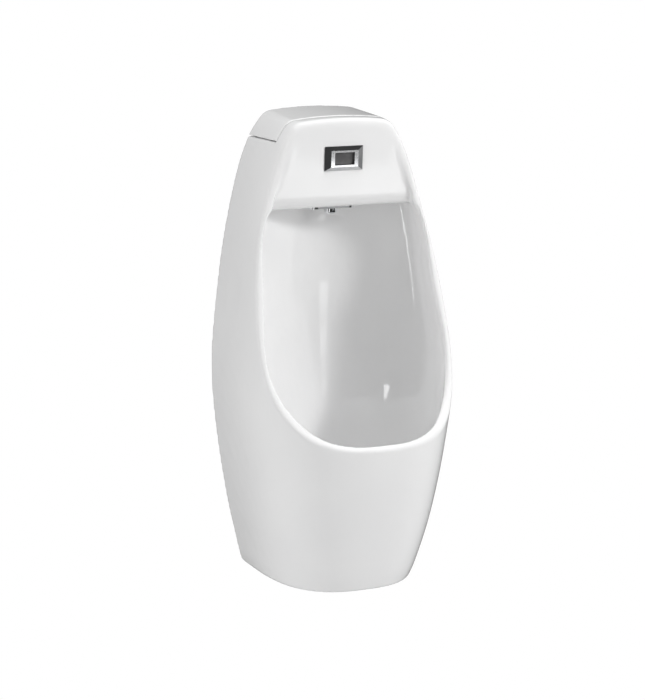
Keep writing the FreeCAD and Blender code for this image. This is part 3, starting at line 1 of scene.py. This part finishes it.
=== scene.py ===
import bpy
import json
import math
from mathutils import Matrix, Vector


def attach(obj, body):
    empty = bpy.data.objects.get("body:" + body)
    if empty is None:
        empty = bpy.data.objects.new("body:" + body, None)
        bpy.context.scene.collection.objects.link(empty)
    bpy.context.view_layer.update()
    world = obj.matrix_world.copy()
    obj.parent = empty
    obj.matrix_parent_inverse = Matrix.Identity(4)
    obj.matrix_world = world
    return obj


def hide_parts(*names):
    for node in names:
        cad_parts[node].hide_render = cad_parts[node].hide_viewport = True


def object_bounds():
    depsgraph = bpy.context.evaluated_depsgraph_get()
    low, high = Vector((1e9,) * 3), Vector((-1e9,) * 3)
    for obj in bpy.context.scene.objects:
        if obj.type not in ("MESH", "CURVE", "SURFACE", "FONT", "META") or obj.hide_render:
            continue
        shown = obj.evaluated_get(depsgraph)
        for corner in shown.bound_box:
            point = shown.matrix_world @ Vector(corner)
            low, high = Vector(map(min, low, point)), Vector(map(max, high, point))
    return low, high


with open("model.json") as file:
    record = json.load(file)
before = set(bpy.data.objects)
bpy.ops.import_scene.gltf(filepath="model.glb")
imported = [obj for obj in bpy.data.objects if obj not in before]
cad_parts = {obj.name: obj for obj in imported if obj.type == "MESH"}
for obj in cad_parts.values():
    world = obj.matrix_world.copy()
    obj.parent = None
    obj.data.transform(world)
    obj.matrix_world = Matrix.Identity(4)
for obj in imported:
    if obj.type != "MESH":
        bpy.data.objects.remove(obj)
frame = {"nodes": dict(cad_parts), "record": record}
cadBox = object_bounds()
nodes = frame["nodes"]
print("frame loaded:", len(nodes), "nodes")


# finishes: every one is built from noise in the object's own metres

noise = dict(broadDetail=2.0, fineDetail=4.0, tintEnds=(0.35, 0.65), roughEnds=(0.3, 0.7))


def startFinish(name):
    material = bpy.data.materials.new(name)
    material.use_nodes = True
    tree = material.node_tree
    shader = tree.nodes["Principled BSDF"]
    place = tree.nodes.new("ShaderNodeTexCoord")
    return material, tree, shader, place


def addNoise(tree, place, scale, detail, stretch=(1, 1, 1)):
    mapping = tree.nodes.new("ShaderNodeMapping")
    mapping.inputs["Scale"].default_value = stretch
    tree.links.new(place.outputs["Object"], mapping.inputs["Vector"])
    grain = tree.nodes.new("ShaderNodeTexNoise")
    grain.inputs["Scale"].default_value = scale
    grain.inputs["Detail"].default_value = detail
    tree.links.new(mapping.outputs["Vector"], grain.inputs["Vector"])
    return grain.outputs["Fac"]


def tintBetween(tree, shader, factor, dark, light):
    blend = tree.nodes.new("ShaderNodeValToRGB")
    for element, position, colour in zip(blend.color_ramp.elements, noise["tintEnds"], (dark, light)):
        element.position = position
        element.color = (*colour, 1)
    tree.links.new(factor, blend.inputs["Fac"])
    tree.links.new(blend.outputs["Color"], shader.inputs["Base Color"])


def varyValue(tree, factor, socket, low, high):
    span = tree.nodes.new("ShaderNodeMapRange")
    span.inputs["From Min"].default_value = noise["roughEnds"][0]
    span.inputs["From Max"].default_value = noise["roughEnds"][1]
    span.inputs["To Min"].default_value = low
    span.inputs["To Max"].default_value = high
    tree.links.new(factor, span.inputs["Value"])
    tree.links.new(span.outputs["Result"], socket)


def addBump(tree, shader, factor, strength, distance):
    bump = tree.nodes.new("ShaderNodeBump")
    bump.inputs["Strength"].default_value = strength
    bump.inputs["Distance"].default_value = distance
    tree.links.new(factor, bump.inputs["Height"])
    tree.links.new(bump.outputs["Normal"], shader.inputs["Normal"])


plainFinish = dict(metal=0.0, coat=0.0, coatRough=0.03, ior=1.5)
finishSockets = {"Metallic": "metal", "Coat Weight": "coat", "Coat Roughness": "coatRough", "IOR": "ior"}


def makeFinish(name, look):
    material, tree, shader, place = startFinish(name)
    stretch = look.get("stretch", (1, 1, 1))
    broad = addNoise(tree, place, look["broadScale"], noise["broadDetail"])
    fine = addNoise(tree, place, look["fineScale"], noise["fineDetail"], stretch)
    tintBetween(tree, shader, broad, look["dark"], look["light"])
    varyValue(tree, fine, shader.inputs["Roughness"], *look["rough"])
    addBump(tree, shader, fine, look["bump"], look["bumpDepth"])
    for socket, key in finishSockets.items():
        shader.inputs[socket].default_value = look.get(key, plainFinish[key])
    return material


finishes = {
    "vitreous_china": dict(dark=(0.86, 0.86, 0.862), light=(0.885, 0.885, 0.885), broadScale=6, fineScale=55,
                           rough=(0.07, 0.13), bump=0.04, bumpDepth=0.0004, coat=0.35, coatRough=0.04,
                           ior=1.52),
    "chrome_plate": dict(dark=(0.74, 0.75, 0.77), light=(0.86, 0.87, 0.88), broadScale=40, fineScale=900,
                         rough=(0.04, 0.1), bump=0.02, bumpDepth=0.0001, metal=1.0),
    "dark_acrylic": dict(dark=(0.07, 0.07, 0.072), light=(0.1, 0.1, 0.102), broadScale=60, fineScale=700,
                         rough=(0.05, 0.12), bump=0.02, bumpDepth=0.0001, coat=0.5),
    "black_plastic": dict(dark=(0.014, 0.014, 0.015), light=(0.03, 0.03, 0.032), broadScale=50,
                          fineScale=1600, rough=(0.45, 0.6), bump=0.25, bumpDepth=0.0001),
    "grey_plastic": dict(dark=(0.16, 0.165, 0.17), light=(0.2, 0.205, 0.21), broadScale=50, fineScale=1600,
                         rough=(0.42, 0.58), bump=0.25, bumpDepth=0.0001),
    "white_plastic": dict(dark=(0.62, 0.62, 0.6), light=(0.7, 0.7, 0.68), broadScale=40, fineScale=1200,
                          rough=(0.25, 0.38), bump=0.1, bumpDepth=0.0001),
    "soft_rubber": dict(dark=(0.018, 0.018, 0.018), light=(0.035, 0.035, 0.035), broadScale=80,
                        fineScale=2200, rough=(0.6, 0.8), bump=0.3, bumpDepth=0.0001),
    "zinc_steel": dict(dark=(0.42, 0.43, 0.45), light=(0.58, 0.59, 0.6), broadScale=90, fineScale=500,
                       rough=(0.28, 0.45), bump=0.1, bumpDepth=0.0001, metal=1.0),
    "stainless_steel": dict(dark=(0.5, 0.5, 0.5), light=(0.62, 0.62, 0.61), broadScale=60, fineScale=900,
                            rough=(0.22, 0.36), bump=0.1, bumpDepth=0.0001, metal=1.0, stretch=(1, 1, 12)),
    "valve_brass": dict(dark=(0.5, 0.33, 0.12), light=(0.66, 0.47, 0.2), broadScale=70, fineScale=900,
                        rough=(0.2, 0.34), bump=0.08, bumpDepth=0.0001, metal=1.0, stretch=(1, 1, 8)),
    "coil_resin": dict(dark=(0.012, 0.02, 0.045), light=(0.02, 0.032, 0.065), broadScale=50, fineScale=1500,
                       rough=(0.4, 0.55), bump=0.2, bumpDepth=0.0001),
    "circuit_board": dict(dark=(0.006, 0.06, 0.02), light=(0.012, 0.11, 0.04), broadScale=300,
                          fineScale=1200, rough=(0.3, 0.5), bump=0.3, bumpDepth=0.0002),
    "cell_jacket": dict(dark=(0.03, 0.032, 0.035), light=(0.055, 0.058, 0.06), broadScale=60, fineScale=900,
                        rough=(0.25, 0.4), bump=0.05, bumpDepth=0.0001),
    "cable_jacket": dict(dark=(0.012, 0.012, 0.012), light=(0.03, 0.03, 0.03), broadScale=120,
                         fineScale=1800, rough=(0.5, 0.7), bump=0.2, bumpDepth=0.0001),
}
materials = {slot: makeFinish(slot, look) for slot, look in finishes.items()}
print("finishes made:", len(materials))

for part in frame["record"]["subparts"]:
    piece = nodes[part["node"]]
    piece.data.materials.clear()
    piece.data.materials.append(materials[part["material_slot"]])
print("finishes given to", len(nodes), "nodes")


# china: the glaze rounds every edge of the body and the lid, so both are remeshed and eased

china = dict(slot="vitreous_china", easeFactor=0.5)
# the face of the head has soft shoulders: each pair is where the easing starts and is full, in metres
shoulders = dict(passes=45, depth=(0.112, 0.124), aside=(0.046, 0.062), crown=(0.187, 0.2),
                 level=(0.1, 0.15))
chinaPieces = [
    dict(name="china_body", node="ceramic_body", body="china", voxel=0.0022, passes=8, shoulders=True),
    dict(name="china_lid", node="ceramic_lid", body="lid", voxel=0.0016, passes=5, shoulders=False),
]


def applyModifiers(piece):
    depsgraph = bpy.context.evaluated_depsgraph_get()
    mesh = bpy.data.meshes.new_from_object(piece.evaluated_get(depsgraph), depsgraph=depsgraph)
    piece.modifiers.clear()
    piece.data = mesh


def easeMesh(piece, passes, group=""):
    ease = piece.modifiers.new("ease", "SMOOTH")
    ease.factor = china["easeFactor"]
    ease.iterations = passes
    ease.vertex_group = group
    applyModifiers(piece)


def ramp(value, ends):
    return min(1.0, max(0.0, (value - ends[0]) / (ends[1] - ends[0])))


def shoulderWeight(point):
    beside = max(ramp(abs(point.x), shoulders["aside"]), ramp(point.z, shoulders["crown"]))
    return beside * ramp(-point.y, shoulders["depth"]) * ramp(point.z, shoulders["level"])


def easeShoulders(piece):
    group = piece.vertex_groups.new(name="shoulders")
    for vertex in piece.data.vertices:
        weight = shoulderWeight(vertex.co)
        if weight > 0:
            group.add([vertex.index], weight, "REPLACE")
    easeMesh(piece, shoulders["passes"], group.name)
    piece.vertex_groups.clear()


def makeChina(look):
    piece = bpy.data.objects.new(look["name"], nodes[look["node"]].data.copy())
    bpy.context.scene.collection.objects.link(piece)
    remesh = piece.modifiers.new("remesh", "REMESH")
    remesh.mode = "VOXEL"
    remesh.voxel_size = look["voxel"]
    applyModifiers(piece)
    easeMesh(piece, look["passes"])
    if look["shoulders"]:
        easeShoulders(piece)
    for face in piece.data.polygons:
        face.use_smooth = True
    piece.data.materials.clear()
    piece.data.materials.append(materials[china["slot"]])
    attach(piece, look["body"])
    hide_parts(look["node"])
    print(look["name"], "has", len(piece.data.polygons), "faces")


for look in chinaPieces:
    makeChina(look)


# stage: floor, light and camera

stage = dict(floorDrop=0.38, floorSize=60, floorColour=(0.86, 0.86, 0.86), floorRough=0.8,
             backdrop=(1, 1, 1), roomLight=0.37, roomGloss=0.05)
# power in watts; a softbox lights the matt shine, a card shows only in the gloss
softboxes = [
    dict(name="keyLight", place=(2.24, -2.09, 1.3), aim=(0, -0.1, -0.1), size=(0.4, 0.45), power=37),
    dict(name="frontLight", place=(1.77, -2.53, 0.83), aim=(0, -0.1, -0.1), size=(1.4, 1.4), power=16),
    dict(name="fillLight", place=(-3.1, -0.35, 0.67), aim=(0, -0.1, -0.1), size=(1.6, 2.0), power=38),
    dict(name="topLight", place=(0.5, -0.2, 2.4), aim=(0, -0.1, -0.1), size=(1.6, 1.6), power=41),
]
cards = [
    dict(name="ringCard", place=(0.59, -1.52, -0.36), aim=(0, -0.13, 0.15), size=(0.4, 0.24), power=0.5),
    dict(name="plateCard", place=(0.62, -1.6, -0.18), aim=(0, -0.09, 0.08), size=(0.5, 0.2), power=0.1),
    dict(name="sideCard", place=(2.9, -0.85, -0.4), aim=(0, -0.13, 0.15), size=(1.2, 1.2), power=0.9),
    dict(name="glintCard", place=(-2.1, -2.13, -0.42), aim=(0.08, -0.09, -0.24), size=(0.1, 0.6), power=1.4),
]
photoCamera = dict(place=(-1.30265, -3.11953, 0.53588), yaw=23.0, pitch=11.624, focalPixels=2183.83,
                   imageHeight=700, filmHeight=36.0)


def mixBy(tree, ray, other, chosen):
    path = tree.nodes.new("ShaderNodeLightPath")
    mix = tree.nodes.new("ShaderNodeMixShader")
    tree.links.new(path.outputs[ray], mix.inputs["Fac"])
    tree.links.new(other, mix.inputs[1])
    tree.links.new(chosen, mix.inputs[2])
    return mix.outputs["Shader"]


def addGlow(tree, nodeType, strength):
    glow = tree.nodes.new(nodeType)
    glow.inputs["Color"].default_value = (*stage["backdrop"], 1)
    glow.inputs["Strength"].default_value = strength
    return glow.outputs[0]


def splitRays(tree, nodeType, matt):
    # matt light as a plain room gives it, a dim room in the gloss, and white where the camera looks
    dim = mixBy(tree, "Is Glossy Ray", matt, addGlow(tree, nodeType, stage["roomGloss"]))
    return mixBy(tree, "Is Camera Ray", dim, addGlow(tree, nodeType, 1.0))


def setFloor():
    half = stage["floorSize"] / 2
    level = cadBox[0].z - stage["floorDrop"]
    mesh = bpy.data.meshes.new("floor")
    corners = [(-half, -half, level), (half, -half, level), (half, half, level), (-half, half, level)]
    mesh.from_pydata(corners, [], [(0, 1, 2, 3)])
    floor = bpy.data.objects.new("floor", mesh)
    bpy.context.scene.collection.objects.link(floor)
    material = bpy.data.materials.new("floorPaint")
    material.use_nodes = True
    tree = material.node_tree
    shader = tree.nodes["Principled BSDF"]
    shader.inputs["Base Color"].default_value = (*stage["floorColour"], 1)
    shader.inputs["Roughness"].default_value = stage["floorRough"]
    paint = splitRays(tree, "ShaderNodeEmission", shader.outputs["BSDF"])
    tree.links.new(paint, tree.nodes["Material Output"].inputs["Surface"])
    mesh.materials.append(material)


def setSky():
    world = bpy.data.worlds.new("studio")
    world.use_nodes = True
    tree = world.node_tree
    room = tree.nodes["Background"]
    room.inputs["Color"].default_value = (*stage["backdrop"], 1)
    room.inputs["Strength"].default_value = stage["roomLight"]
    sky = splitRays(tree, "ShaderNodeBackground", room.outputs["Background"])
    tree.links.new(sky, tree.nodes["World Output"].inputs["Surface"])
    bpy.context.scene.world = world


def addSoftbox(box, inShine, inGloss):
    light = bpy.data.lights.new(box["name"], "AREA")
    light.shape = "RECTANGLE"
    light.size, light.size_y = box["size"]
    light.energy = box["power"]
    lamp = bpy.data.objects.new(box["name"], light)
    lamp.location = box["place"]
    lamp.rotation_euler = (Vector(box["aim"]) - Vector(box["place"])).to_track_quat("-Z", "Y").to_euler()
    lamp.visible_camera = False
    lamp.visible_diffuse = inShine
    lamp.visible_glossy = inGloss
    bpy.context.scene.collection.objects.link(lamp)


def setCamera():
    lens = bpy.data.cameras.new("photoCamera")
    lens.sensor_width = photoCamera["filmHeight"]
    lens.lens = photoCamera["focalPixels"] / photoCamera["imageHeight"] * photoCamera["filmHeight"]
    camera = bpy.data.objects.new("photoCamera", lens)
    camera.location = photoCamera["place"]
    camera.rotation_euler = (math.radians(90 - photoCamera["pitch"]), 0, math.radians(-photoCamera["yaw"]))
    bpy.context.scene.collection.objects.link(camera)
    bpy.context.scene.camera = camera


setFloor()
setSky()
for softbox in softboxes:
    addSoftbox(softbox, inShine=True, inGloss=False)
for card in cards:
    addSoftbox(card, inShine=False, inGloss=True)
setCamera()
bpy.context.scene.view_settings.view_transform = "Standard"
print("stage set")
